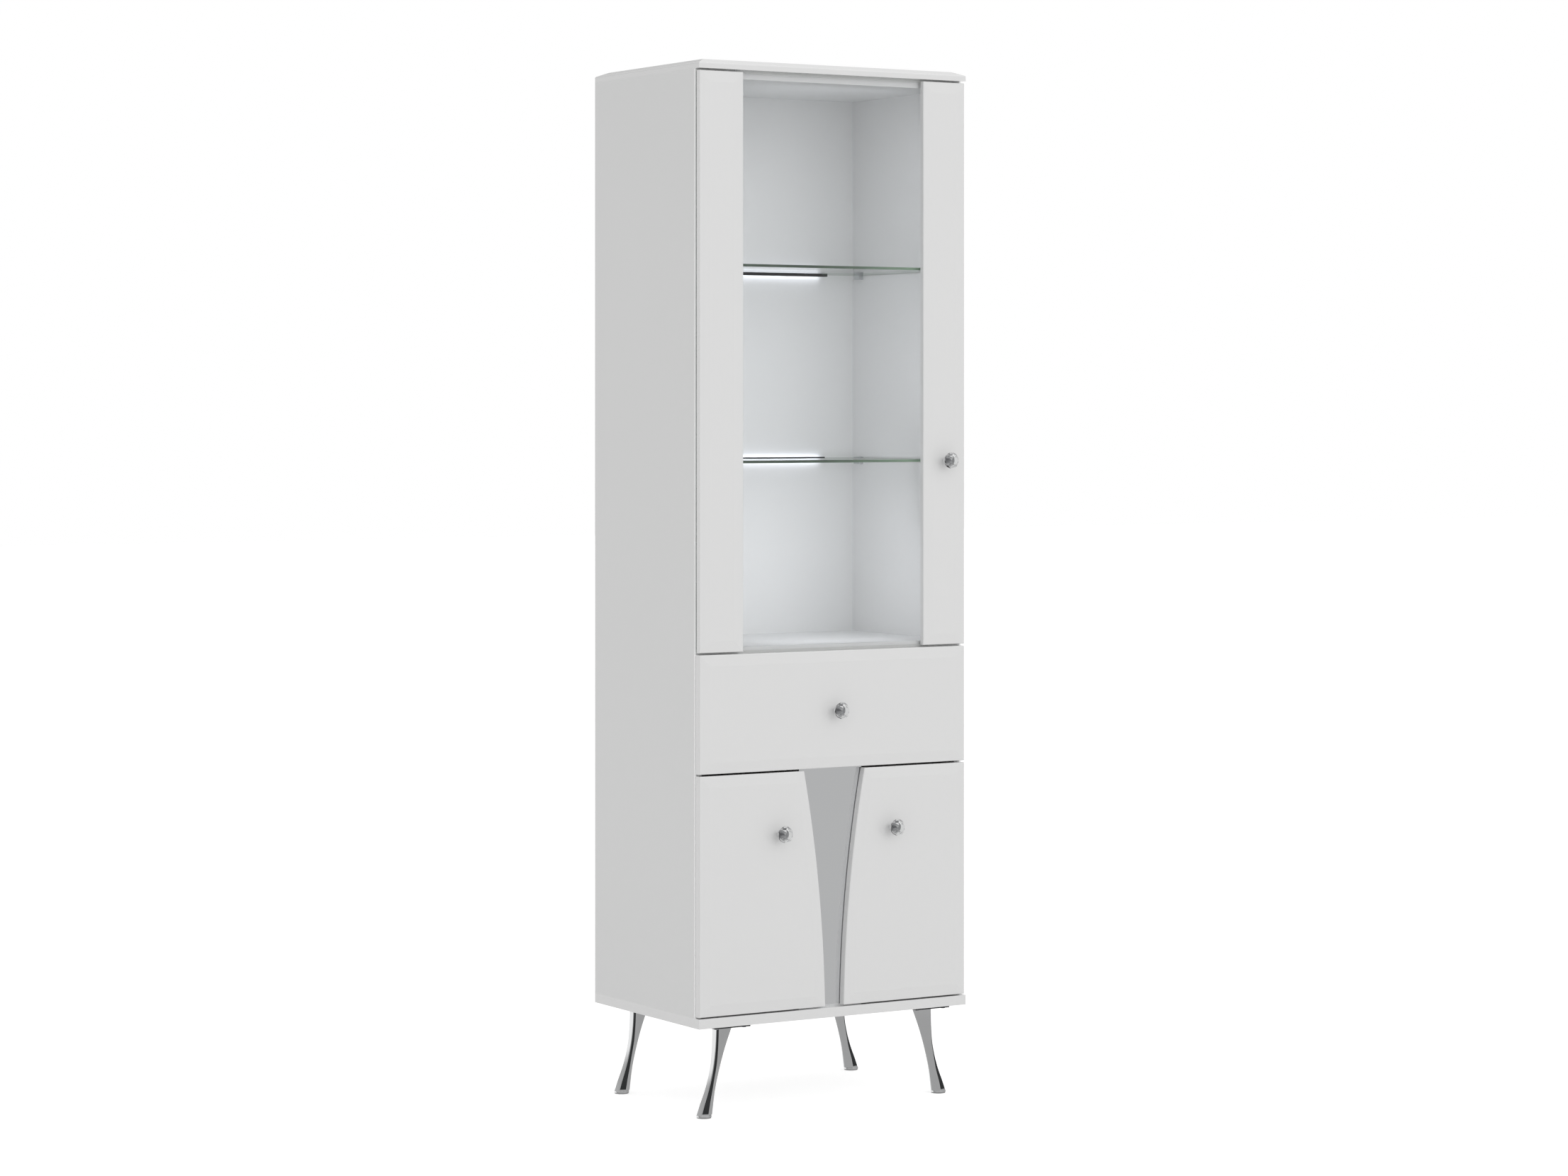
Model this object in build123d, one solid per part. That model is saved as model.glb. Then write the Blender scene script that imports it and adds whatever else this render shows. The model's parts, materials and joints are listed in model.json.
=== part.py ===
from build123d import *
import os
from math import cos, radians, sin, sqrt

# Curio cabinet on four splayed legs, in millimetres.
# While a piece is built, X is left to right from the middle, Y is the depth behind the plane of
# the door faces, and Z is the height above the floor. place_and_write() then moves every piece by
# ORIGIN_SHIFT, which puts the origin at the bottom centre of the whole cabinet.

# ---- overall -------------------------------------------------------------------------------
WIDTH = 600.0
DEPTH = 402.0                 # door faces to the back edge
KNOB_REACH = 37.0             # how far the crystals stand in front of the door faces
ORIGIN_SHIFT = KNOB_REACH - (DEPTH + KNOB_REACH) / 2

# ---- boards --------------------------------------------------------------------------------
BOARD = 16.0                  # carcass and shelf boards
THICK_BOARD = 18.6            # top and bottom boards
BACK_THICKNESS = 3.0
CARCASS_FRONT = 18.0          # front edge of the side panels
BACK_FACE = 382.5             # front face of the back panel
GROOVE_DEPTH = 5.0
INNER_X = WIDTH / 2 - BOARD   # inner face of a side panel

LEG_HEIGHT = 174.0
BOTTOM_TOP = LEG_HEIGHT + THICK_BOARD
TOP_UNDERSIDE = 1967.6
TOP_BEVEL_HEIGHT = 8.0
TOP_BEVEL_WIDTH = 20.0
TOP_ROUNDING = 3.0
DISPLAY_FLOOR_TOP = 882.9
DRAWER_FLOOR_TOP = 671.0
LOWER_SHELF_TOP = 436.0
LOWER_SHELF_FRONT = 42.0
LOWER_SHELF_BACK = 378.0

# ---- fronts --------------------------------------------------------------------------------
FRONT_X = 298.0               # outer edge of every door and of the drawer front
FRONT_THICKNESS = 16.0
BEVEL_WIDTH = 21.5
BEVEL_DEPTH = 2.0
FRONT_ROUNDING = 1.8
DOOR_BOTTOM, DOOR_TOP = 194.9, 644.9
DRAWER_BOTTOM, DRAWER_TOP = 648.4, 871.4
GLAZED_BOTTOM, GLAZED_TOP = 875.3, 1963.9
STILE_WIDTH = 95.5
STILE_THICKNESS = 12.0
PANE = 4.0
PANE_MARGIN = 2.0

# The free edge of each lower door is an arc about a centre at CURVE_HEIGHT.
CURVE_RADIUS = 2604.0
CURVE_HEIGHT = 150.0
CURVE_HALF_GAP = 20.3         # half the gap between the doors at CURVE_HEIGHT
POST_HALF_WIDTH = 70.0
MIRROR = 4.0

# ---- knobs ---------------------------------------------------------------------------------
# Foot as (radius, depth), then the crystal's rings of facets as (depth, radius).
KNOB_PROFILE = ((0, 0), (4.6, 0), (4.6, -6.4), (8.8, -8.6), (10.0, -9.6), (10.0, -18.4), (0, -18.4))
CRYSTAL_RINGS = ((-18.4, 9.8), (-23.2, 16.0), (-26.2, 16.0), (-33.6, 10.6), (-KNOB_REACH, 7.6))
CRYSTAL_SIDES = 8
KNOB_SCREW_RADIUS = 2.0
KNOB_SCREW_TIP = -8.0
KNOB_HEAD_RADIUS = 4.0
KNOB_HEAD = 2.0
KNOBS = {
    "display": (250.0, 1231.6),
    "drawer": (0.0, 758.5),
    "left": (-126.0, 530.0),
    "right": (126.0, 530.0),
}

# ---- glass shelves and their lights --------------------------------------------------------
GLASS_SHELF = 5.0
GLASS_SHELF_TOPS = {"upper": 1604.8, "lower": 1233.6}
GLASS_SHELF_X = 282.0
GLASS_SHELF_FRONT, GLASS_SHELF_BACK = 28.0, 370.0
BRACKET = (10.0, 20.0, 14.0)  # reach from the wall, length along the wall, height
BRACKET_Y = (80.0, 354.0)
BRACKET_BELOW = 8.0           # how far the bracket hangs below the glass
PIN_RADIUS, PIN_LENGTH = 2.5, 8.0
LIGHT_HALF_LENGTH = 203.0
LIGHT_CAP = 6.0
LIGHT_FRONT, LIGHT_BACK = 360.0, 376.0
LIGHT_BELOW = 3.0             # housing below the glass
LIGHT_ABOVE = 1.5             # lip above the glass
DIFFUSER = (3.0, 4.0)         # depth and height of the light strip
CABLE_RADIUS = 1.4
CABLE_BEND = 3.0
CABLE_X = {"upper": -240.5, "lower": -236.0}
CABLE_HOLE_RADIUS = 4.0
DRIVER = (42.0, 12.0, 150.0)  # box of the lighting driver, behind the back panel
DRIVER_X, DRIVER_Z = -238.0, 1010.0

# ---- legs ----------------------------------------------------------------------------------
LEG_PLATE = 78.0
LEG_PLATE_THICKNESS = 3.0
LEG_PLATE_X = 225.0
LEG_Y = {"front": 42.8, "rear": 359.2}
FOOT_X = 264.5
FOOT_RADIUS = 14.5
FOOT_TOP, PAD = 5.5, 1.5
LEG_SCREW_OFFSET = 30.0
LEG_SCREW_RADIUS, LEG_SCREW_LENGTH = 2.2, 14.0
LEG_SCREW_HEAD_RADIUS, LEG_SCREW_HEAD = 4.0, 2.0
# Leg sections from foot to top: height, outer x, x of the widest edge, inner x, and the half
# thicknesses at those three edges.
LEG_SECTIONS = (
    (5.5, 275.6, 261.0, 251.6, 8.6, 12.8, 5.2),
    (22.0, 270.0, 257.7, 249.0, 7.7, 12.2, 4.6),
    (48.0, 260.2, 251.2, 244.5, 6.4, 10.4, 3.8),
    (74.0, 252.3, 246.2, 238.0, 6.0, 10.4, 3.1),
    (100.0, 246.9, 241.4, 230.5, 5.8, 10.9, 2.7),
    (127.0, 244.0, 239.2, 221.5, 6.5, 11.8, 2.4),
    (LEG_HEIGHT - LEG_PLATE_THICKNESS, 242.0, 238.0, 203.8, 7.5, 13.0, 2.0),
)

# ---- hinges: every door swings about the vertical line of its own front outer corner -------
CUP_INSET = 22.5              # cup centre from the door's outer edge
CUP_RADIUS, CUP_WALL = 17.5, 1.0
CUP_BOTTOM = 5.0
CUP_FLANGE = 1.0
CUP_FLANGE_RADIUS = 19.5
LINK_INNER, LINK_OUTER = 25.8, 28.2
LINK_START, LINK_END = 16.0, 42.0  # degrees from the door's plane
LINK_HEIGHT = 10.0
ARM_HEIGHT = 12.0
# Outline of an arm in plan, as distances inwards from the door's corner and back from its face.
ARM_PLAN = (
    (14.0, 82.0), (14.0, 26.0), (16.6, 13.6), (18.2, 13.6), (17.6, 20.0), (20.0, 30.0), (22.0, 82.0),
)
ARM_PLATE = (2.0, 44.0, 50.0)  # thickness, length and height of the mounting plate
ARM_PLATE_FRONT = 36.0
GLAZED_HINGES = (975.0, 1420.0, 1865.0)
DOOR_HINGES = (275.0, 565.0)

# ---- drawer --------------------------------------------------------------------------------
BOX_X = 271.0                 # outer face of the drawer box
BOX_WALL = 12.0
BOX_BOTTOM, BOX_TOP, BOX_BACK = 680.0, 830.0, 366.0
BASE_BOTTOM = 688.0           # underside of the drawer's base sheet
RAIL_Z = 712.0
RAIL_FRONT, RAIL_BACK = 19.0, 364.0
# Rails: web x span, half height and the x the flanges reach; outer to inner.
FIXED_RAIL = (282.6, 284.0, 22.5, 275.0)
MIDDLE_RAIL = (279.2, 280.4, 18.5, 273.4)
BOX_RAIL = (271.0, 272.2, 12.0, 277.0)
RAIL_SHEET = 1.2

# ---- small fittings ------------------------------------------------------------------------
DOWEL_RADIUS, DOWEL_LENGTH = 4.0, 24.0
DOWEL_IN_SIDE = 10.0
DOWEL_DEPTHS = (70.0, 330.0)
CARCASS_MIDDLE_X = WIDTH / 2 - BOARD / 2
BUMPER_RADIUS, BUMPER_HEIGHT = 3.5, 1.8
BOX_SCREW_RADIUS, BOX_SCREW_LENGTH = 2.5, 36.0


def block(x, y, z):
    """Box from three (low, high) spans."""
    size = [high - low for low, high in (x, y, z)]
    middle = [(high + low) / 2 for low, high in (x, y, z)]
    return Pos(*middle) * Box(*size)


def rod(start, axis, length, radius):
    """Cylinder from a start point along one of the axes X, Y or Z."""
    turn = {"X": Rot(0, 90, 0), "Y": Rot(-90, 0, 0), "Z": Rot(0, 0, 0)}[axis]
    return Pos(*start) * turn * Cylinder(radius, length, align=(Align.CENTER, Align.CENTER, Align.MIN))


def group(solids):
    """Separate solids kept together as one node."""
    return Compound(children=[s for item in solids for s in item.solids()])


def left_and_right(solid):
    """A solid on the right side together with its mirror image on the left."""
    return [solid, mirror(solid, Plane.YZ)]


def mirrored(solid):
    return mirror(solid, Plane.YZ)


def cut(solid, tools):
    """Removes every tool from a solid."""
    for tool in tools:
        solid = solid - tool
    return solid


# ---- fronts --------------------------------------------------------------------------------
def rectangle_wire(x, z, depth, inset):
    """Rectangle facing the front at one depth, drawn in by inset."""
    left, right = x[0] + inset, x[1] - inset
    low, high = z[0] + inset, z[1] - inset
    corners = [(left, depth, low), (right, depth, low), (right, depth, high), (left, depth, high)]
    return Wire.make_polygon([Vector(*c) for c in corners], close=True)


def curve_x(height, inset):
    """X of the curved free edge of the right door at a height."""
    centre = CURVE_HALF_GAP + CURVE_RADIUS
    return centre - sqrt((CURVE_RADIUS - inset) ** 2 - (height - CURVE_HEIGHT) ** 2)


def curved_door_wire(depth, inset):
    """Outline of the right lower door, whose left edge is an arc."""
    low, high = DOOR_BOTTOM + inset, DOOR_TOP - inset
    outer = FRONT_X - inset
    middle = (low + high) / 2
    start, end = (curve_x(low, inset), depth, low), (curve_x(high, inset), depth, high)
    edges = [
        Line(start, (outer, depth, low)),
        Line((outer, depth, low), (outer, depth, high)),
        Line((outer, depth, high), end),
        ThreePointArc(end, (curve_x(middle, inset), depth, middle), start),
    ]
    return Wire(edges)


def bevelled(outline, thickness):
    """Slab with a wide shallow bevel round its face and a softened outer edge."""
    wires = [outline(thickness, 0), outline(BEVEL_DEPTH, 0), outline(0, BEVEL_WIDTH)]
    slab = Solid.make_loft(wires, ruled=True)
    rim = [e for e in slab.edges() if abs(e.center().Y - BEVEL_DEPTH) < 0.01]
    return fillet(rim, FRONT_ROUNDING)


def bevelled_rectangle(x, z, thickness):
    return bevelled(lambda depth, inset: rectangle_wire(x, z, depth, inset), thickness)


# ---- hinges --------------------------------------------------------------------------------
def cup(height):
    """Hinge cup for a door hinged on the right, with its flange on the back of the door."""
    x = FRONT_X - CUP_INSET
    depth = FRONT_THICKNESS - CUP_BOTTOM
    body = rod((x, CUP_BOTTOM, height), "Y", depth, CUP_RADIUS)
    flange = rod((x, FRONT_THICKNESS, height), "Y", CUP_FLANGE, CUP_FLANGE_RADIUS)
    bowl = rod((x, CUP_BOTTOM + CUP_WALL, height), "Y", depth + CUP_FLANGE, CUP_RADIUS - CUP_WALL)
    return body + flange - bowl


def cup_pocket(height):
    """What a cup takes out of a door."""
    depth = FRONT_THICKNESS - CUP_BOTTOM
    return rod((FRONT_X - CUP_INSET, CUP_BOTTOM, height), "Y", depth, CUP_RADIUS)


def arc_point(radius, degrees):
    """Point at an angle about the corner a door turns on, measured from the door towards the back."""
    return (FRONT_X - radius * cos(radians(degrees)), radius * sin(radians(degrees)))


def hinge_link(height):
    """Curved strap between arm and cup, centred on the corner the door turns on."""
    middle = (LINK_START + LINK_END) / 2
    inner = [arc_point(LINK_INNER, a) for a in (LINK_START, middle, LINK_END)]
    outer = [arc_point(LINK_OUTER, a) for a in (LINK_END, middle, LINK_START)]
    wire = Wire([
        ThreePointArc(*inner),
        Line(inner[2], outer[0]),
        ThreePointArc(*outer),
        Line(outer[2], inner[0]),
    ])
    strap = extrude(Face(wire), amount=LINK_HEIGHT, dir=(0, 0, 1))
    return Pos(0, 0, height - LINK_HEIGHT / 2) * strap


def hinge_arm(height):
    """Arm and mounting plate on the inner face of the right side panel."""
    plan = [Vector(FRONT_X - dx, dy, height - ARM_HEIGHT / 2) for dx, dy in ARM_PLAN]
    arm = extrude(Face(Wire.make_polygon(plan, close=True)), amount=ARM_HEIGHT, dir=(0, 0, 1))
    thickness, length, tall = ARM_PLATE
    plate = block(
        (INNER_X - thickness, INNER_X),
        (ARM_PLATE_FRONT, ARM_PLATE_FRONT + length),
        (height - tall / 2, height + tall / 2),
    )
    return arm + plate


# ---- knobs ---------------------------------------------------------------------------------
def knob_screw(x, z):
    shaft = rod((x, KNOB_SCREW_TIP, z), "Y", FRONT_THICKNESS - KNOB_SCREW_TIP, KNOB_SCREW_RADIUS)
    return shaft + rod((x, FRONT_THICKNESS, z), "Y", KNOB_HEAD, KNOB_HEAD_RADIUS)


def knob_base(x, z):
    """Narrow foot with a wide collar that carries the crystal."""
    profile = Face(Wire.make_polygon([Vector(r, y, 0) for r, y in KNOB_PROFILE], close=True))
    return Pos(x, 0, z) * revolve(profile, Axis.Y)


def crystal(x, z):
    """Eight-sided cut crystal: a girdle between two tapering rings of facets."""
    rings = []
    for depth, radius in CRYSTAL_RINGS:
        turns = [radians(360 / CRYSTAL_SIDES * (i + 0.5)) for i in range(CRYSTAL_SIDES)]
        points = [Vector(x + radius * cos(a), depth, z + radius * sin(a)) for a in turns]
        rings.append(Wire.make_polygon(points, close=True))
    return Solid.make_loft(rings, ruled=True)


def add_knob(pieces, name, front):
    """Adds a knob on a front and drills the front for its screw."""
    x, z = KNOBS[name]
    screw = knob_screw(x, z)
    pieces[f"knob_base_{name}"] = group([knob_base(x, z) - screw, screw])
    pieces[f"knob_crystal_{name}"] = crystal(x, z)
    pieces[front] = pieces[front] - screw


# ---- carcass -------------------------------------------------------------------------------
def top_board():
    """Square-edged below, with a wide bevel above on all four sides."""
    top = TOP_UNDERSIDE + THICK_BOARD
    rings = []
    for height, inset in ((TOP_UNDERSIDE, 0), (top - TOP_BEVEL_HEIGHT, 0), (top, TOP_BEVEL_WIDTH)):
        x = WIDTH / 2 - inset
        corners = [(-x, inset), (x, inset), (x, DEPTH - inset), (-x, DEPTH - inset)]
        rings.append(Wire.make_polygon([Vector(a, b, height) for a, b in corners], close=True))
    slab = Solid.make_loft(rings, ruled=True)
    rim = [e for e in slab.edges() if abs(e.center().Z - (top - TOP_BEVEL_HEIGHT)) < 0.01]
    return fillet(rim, TOP_ROUNDING)


def shelf_board(top, front, back, half_width):
    return block((-half_width, half_width), (front, back), (top - BOARD, top))


def side_panel():
    """Right side panel with the groove that holds the back panel."""
    panel = block((INNER_X, WIDTH / 2), (CARCASS_FRONT, DEPTH), (BOTTOM_TOP, TOP_UNDERSIDE))
    return panel - back_panel()


def back_panel():
    reach = INNER_X + GROOVE_DEPTH
    return block((-reach, reach), (BACK_FACE, BACK_FACE + BACK_THICKNESS), (BOTTOM_TOP, TOP_UNDERSIDE))


def carcass_dowels():
    """Dowels that join the boards to the side panels, on the right side."""
    dowels = []
    board_tops = (TOP_UNDERSIDE, DISPLAY_FLOOR_TOP, DRAWER_FLOOR_TOP)
    for depth in DOWEL_DEPTHS:
        for top in board_tops:
            start = (INNER_X + DOWEL_IN_SIDE - DOWEL_LENGTH, depth, top - BOARD / 2)
            dowels.append(rod(start, "X", DOWEL_LENGTH, DOWEL_RADIUS))
        for height in (BOTTOM_TOP, TOP_UNDERSIDE):
            inward = 1 if height == BOTTOM_TOP else -1
            low = height - DOWEL_LENGTH / 2 + inward * 2
            dowels.append(rod((CARCASS_MIDDLE_X, depth, low), "Z", DOWEL_LENGTH, DOWEL_RADIUS))
    return [d for dowel in dowels for d in left_and_right(dowel)]


def add_carcass(pieces):
    dowels = carcass_dowels()
    boards = {
        "side_panel_right": side_panel(),
        "top_board": top_board(),
        "bottom_board": block((-WIDTH / 2, WIDTH / 2), (0, DEPTH), (LEG_HEIGHT, BOTTOM_TOP)),
        "inner_top_panel": shelf_board(TOP_UNDERSIDE, CARCASS_FRONT, BACK_FACE, INNER_X),
        "display_floor": shelf_board(DISPLAY_FLOOR_TOP, CARCASS_FRONT, BACK_FACE, INNER_X),
        "drawer_floor": shelf_board(DRAWER_FLOOR_TOP, CARCASS_FRONT, BACK_FACE, INNER_X),
    }
    boards["side_panel_left"] = mirrored(boards["side_panel_right"])
    for name, board in boards.items():
        pieces[name] = cut(board, dowels)
    pieces["carcass_dowels"] = group(dowels)
    pieces["back_panel"] = back_panel()
    drawer_floor_underside = DRAWER_FLOOR_TOP - BOARD
    post_front = CARCASS_FRONT + MIRROR
    post_x = (-POST_HALF_WIDTH, POST_HALF_WIDTH)
    post_z = (BOTTOM_TOP, drawer_floor_underside)
    pieces["mirror_insert"] = block(post_x, (CARCASS_FRONT, post_front), post_z)
    pieces["centre_post"] = block(post_x, (post_front, post_front + BOARD), post_z)
    pieces["lower_shelf"] = shelf_board(
        LOWER_SHELF_TOP, LOWER_SHELF_FRONT, LOWER_SHELF_BACK, INNER_X - 1
    )
    add_shelf_pins(pieces)


def add_shelf_pins(pieces):
    """Pins in the side panels under the lower shelf."""
    height = LOWER_SHELF_TOP - BOARD - PIN_RADIUS
    pins = []
    for depth in BRACKET_Y:
        pin = rod((INNER_X - PIN_LENGTH, depth, height), "X", 2 * PIN_LENGTH, PIN_RADIUS)
        pins += left_and_right(pin)
    for side in ("side_panel_left", "side_panel_right"):
        pieces[side] = cut(pieces[side], pins)
    pieces["lower_shelf_pins"] = group(pins)


# ---- glass shelves -------------------------------------------------------------------------
def shelf_bracket(shelf_top, depth):
    """Slotted bracket on the right side panel that holds an end of a glass shelf."""
    reach, length, tall = BRACKET
    low = shelf_top - GLASS_SHELF - BRACKET_BELOW
    body = block(
        (INNER_X - reach, INNER_X), (depth - length / 2, depth + length / 2), (low, low + tall)
    )
    slot = block(
        (0, GLASS_SHELF_X), (depth - length, depth + length), (shelf_top - GLASS_SHELF, shelf_top)
    )
    pin = rod((INNER_X - 1, depth, low + BRACKET_BELOW / 2), "X", PIN_LENGTH + 1, PIN_RADIUS)
    return body - slot + pin


def light_housing(shelf_top):
    """Channel clipped over the rear edge of a glass shelf, with a cap on each end."""
    underside = shelf_top - GLASS_SHELF
    span = (-LIGHT_HALF_LENGTH, LIGHT_HALF_LENGTH)
    body = block(span, (LIGHT_FRONT, LIGHT_BACK), (underside - LIGHT_BELOW, shelf_top + LIGHT_ABOVE))
    mouth = block(span, (0, GLASS_SHELF_BACK), (underside, shelf_top))
    cap_x = (LIGHT_HALF_LENGTH, LIGHT_HALF_LENGTH + LIGHT_CAP)
    cap = block(cap_x, (LIGHT_FRONT, LIGHT_BACK), (underside - LIGHT_BELOW, underside))
    return [body - mouth] + left_and_right(cap)


def light_strip(shelf_top):
    """Diffuser on the back of the housing, level with the glass."""
    depth, tall = DIFFUSER
    middle = shelf_top - GLASS_SHELF / 2
    return block(
        (-LIGHT_HALF_LENGTH, LIGHT_HALF_LENGTH),
        (LIGHT_BACK, LIGHT_BACK + depth),
        (middle - tall / 2, middle + tall / 2),
    )


def light_cable(shelf_top, x):
    """Cable from the end of a light, through the back panel at x and down to the driver."""
    height = shelf_top - GLASS_SHELF - LIGHT_BELOW / 2
    end_x = -LIGHT_HALF_LENGTH - LIGHT_CAP
    run_y = BACK_FACE + BACK_THICKNESS + DRIVER[1] / 2
    start_y = (LIGHT_FRONT + LIGHT_BACK) / 2
    driver_top = DRIVER_Z + DRIVER[2]
    path = FilletPolyline(
        (end_x, start_y, height),
        (x, start_y, height),
        (x, run_y, height),
        (x, run_y, driver_top),
        radius=CABLE_BEND,
    )
    section = Plane(origin=(end_x, start_y, height), z_dir=(-1, 0, 0)) * Circle(CABLE_RADIUS)
    return sweep(section, path=path)


def add_shelves(pieces):
    brackets = []
    for name, top in GLASS_SHELF_TOPS.items():
        pieces[f"glass_shelf_{name}"] = block(
            (-GLASS_SHELF_X, GLASS_SHELF_X),
            (GLASS_SHELF_FRONT, GLASS_SHELF_BACK),
            (top - GLASS_SHELF, top),
        )
        pieces[f"light_housing_{name}"] = group(light_housing(top))
        pieces[f"light_strip_{name}"] = light_strip(top)
        for depth in BRACKET_Y:
            brackets += left_and_right(shelf_bracket(top, depth))
    for side in ("side_panel_left", "side_panel_right"):
        pieces[side] = cut(pieces[side], brackets)
    pieces["glass_shelf_brackets"] = group(brackets)
    add_driver(pieces)


def add_driver(pieces):
    """Cables and driver of the two lights."""
    wide, thick, tall = DRIVER
    behind = BACK_FACE + BACK_THICKNESS
    pieces["light_driver"] = block(
        (DRIVER_X - wide / 2, DRIVER_X + wide / 2),
        (behind, behind + thick),
        (DRIVER_Z, DRIVER_Z + tall),
    )
    cables = []
    for name, top in GLASS_SHELF_TOPS.items():
        x = CABLE_X[name]
        height = top - GLASS_SHELF - LIGHT_BELOW / 2
        hole = rod((x, BACK_FACE - 1, height), "Y", BACK_THICKNESS + 2, CABLE_HOLE_RADIUS)
        pieces["back_panel"] = pieces["back_panel"] - hole
        cables.append(light_cable(top, x))
    pieces["light_cables"] = group(cables)


# ---- legs ----------------------------------------------------------------------------------
def leg_section(height, outer, widest, inner, half_outer, half_widest, half_inner):
    """Six-sided section, the same in front of and behind the leg's own middle plane."""
    half = [(inner, half_inner), (widest, half_widest), (outer, half_outer)]
    points = [(x, -y) for x, y in half] + [(x, y) for x, y in reversed(half)]
    return Wire.make_polygon([Vector(x, y, height) for x, y in points], close=True)


def leg():
    """Right-hand leg about depth 0: a lofted blade that splays outwards onto a round foot."""
    blade = Solid.make_loft([leg_section(*s) for s in LEG_SECTIONS])
    foot = Pos(FOOT_X, 0, PAD) * Cylinder(
        FOOT_RADIUS, FOOT_TOP - PAD, align=(Align.CENTER, Align.CENTER, Align.MIN)
    )
    return blade + foot


def leg_plate_screws():
    """The four screws of one right-hand plate, about depth 0."""
    screws = []
    head_z = LEG_HEIGHT - LEG_PLATE_THICKNESS - LEG_SCREW_HEAD
    for x in (LEG_PLATE_X - LEG_SCREW_OFFSET, LEG_PLATE_X + LEG_SCREW_OFFSET):
        for y in (-LEG_SCREW_OFFSET, LEG_SCREW_OFFSET):
            head = rod((x, y, head_z), "Z", LEG_SCREW_HEAD, LEG_SCREW_HEAD_RADIUS)
            shaft = rod((x, y, head_z), "Z", LEG_SCREW_LENGTH + LEG_SCREW_HEAD, LEG_SCREW_RADIUS)
            screws.append(head + shaft)
    return screws


def add_legs(pieces):
    plates, screws, pads = [], [], []
    half = LEG_PLATE / 2
    for row, depth in LEG_Y.items():
        right = Pos(0, depth, 0) * leg()
        pieces[f"leg_{row}_right"] = right
        pieces[f"leg_{row}_left"] = mirrored(right)
        plate = block(
            (LEG_PLATE_X - half, LEG_PLATE_X + half),
            (depth - half, depth + half),
            (LEG_HEIGHT - LEG_PLATE_THICKNESS, LEG_HEIGHT),
        )
        own_screws = [Pos(0, depth, 0) * s for s in leg_plate_screws()]
        plates += left_and_right(cut(plate, own_screws))
        for screw in own_screws:
            screws += left_and_right(screw)
        pads += left_and_right(rod((FOOT_X, depth, 0), "Z", PAD, FOOT_RADIUS - 1))
    pieces["leg_plates"] = group(plates)
    pieces["leg_screws"] = group(screws)
    pieces["foot_pads"] = group(pads)
    pieces["bottom_board"] = cut(pieces["bottom_board"], screws)


# ---- doors ---------------------------------------------------------------------------------
def add_hinges(pieces):
    """Arms on the carcass, and the straps between arms and cups for each door."""
    right = [hinge_arm(h) for h in DOOR_HINGES]
    left = [mirrored(hinge_arm(h)) for h in DOOR_HINGES + GLAZED_HINGES]
    pieces["hinge_arms"] = group(right + left)
    pieces["hinge_links_right"] = group([hinge_link(h) for h in DOOR_HINGES])
    pieces["hinge_links_left"] = group([mirrored(hinge_link(h)) for h in DOOR_HINGES])
    pieces["hinge_links_display"] = group([mirrored(hinge_link(h)) for h in GLAZED_HINGES])


def add_lower_doors(pieces):
    door = cut(bevelled(curved_door_wire, FRONT_THICKNESS), [cup_pocket(h) for h in DOOR_HINGES])
    cups = [cup(h) for h in DOOR_HINGES]
    pieces["door_right"] = door
    pieces["door_left"] = mirrored(door)
    pieces["hinge_cups_right"] = group(cups)
    pieces["hinge_cups_left"] = group([mirrored(c) for c in cups])
    for name in ("left", "right"):
        add_knob(pieces, name, f"door_{name}")


def add_display_door(pieces):
    """Two wooden stiles on the front of one full-size pane, hinged on the left."""
    z = (GLAZED_BOTTOM, GLAZED_TOP)
    pockets = [mirrored(cup_pocket(h)) for h in GLAZED_HINGES]
    stile = bevelled_rectangle((FRONT_X - STILE_WIDTH, FRONT_X), z, STILE_THICKNESS)
    pieces["door_stile_right"] = stile
    pieces["door_stile_left"] = cut(mirrored(stile), pockets)
    pane_x = FRONT_X - PANE_MARGIN
    pane = block(
        (-pane_x, pane_x),
        (STILE_THICKNESS, STILE_THICKNESS + PANE),
        (GLAZED_BOTTOM + PANE_MARGIN, GLAZED_TOP - PANE_MARGIN),
    )
    screw = knob_screw(*KNOBS["display"])
    pieces["door_pane"] = cut(pane, pockets + [screw])
    pieces["hinge_cups_display"] = group([mirrored(cup(h)) for h in GLAZED_HINGES])
    add_knob(pieces, "display", "door_stile_right")


# ---- drawer --------------------------------------------------------------------------------
def rail(profile):
    """Right-hand C-shaped drawer rail: a web with a flange along each edge."""
    web_inner, web_outer, half_height, flange_reach = profile
    along = (RAIL_FRONT, RAIL_BACK)
    web = block((web_inner, web_outer), along, (RAIL_Z - half_height, RAIL_Z + half_height))
    low, high = min(flange_reach, web_inner), max(flange_reach, web_outer)
    upper = block((low, high), along, (RAIL_Z + half_height - RAIL_SHEET, RAIL_Z + half_height))
    lower = block((low, high), along, (RAIL_Z - half_height, RAIL_Z - half_height + RAIL_SHEET))
    return web + upper + lower


def drawer_screws():
    """Screws that join the drawer's sides to its back, on both sides."""
    screws = []
    middle_y = BOX_BACK - BOX_WALL / 2
    for height in (BOX_TOP - BOX_WALL * 2, RAIL_Z + BOX_WALL * 3):
        start = (BOX_X - BOX_SCREW_LENGTH, middle_y, height)
        screws += left_and_right(rod(start, "X", BOX_SCREW_LENGTH, BOX_SCREW_RADIUS))
    return screws


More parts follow.
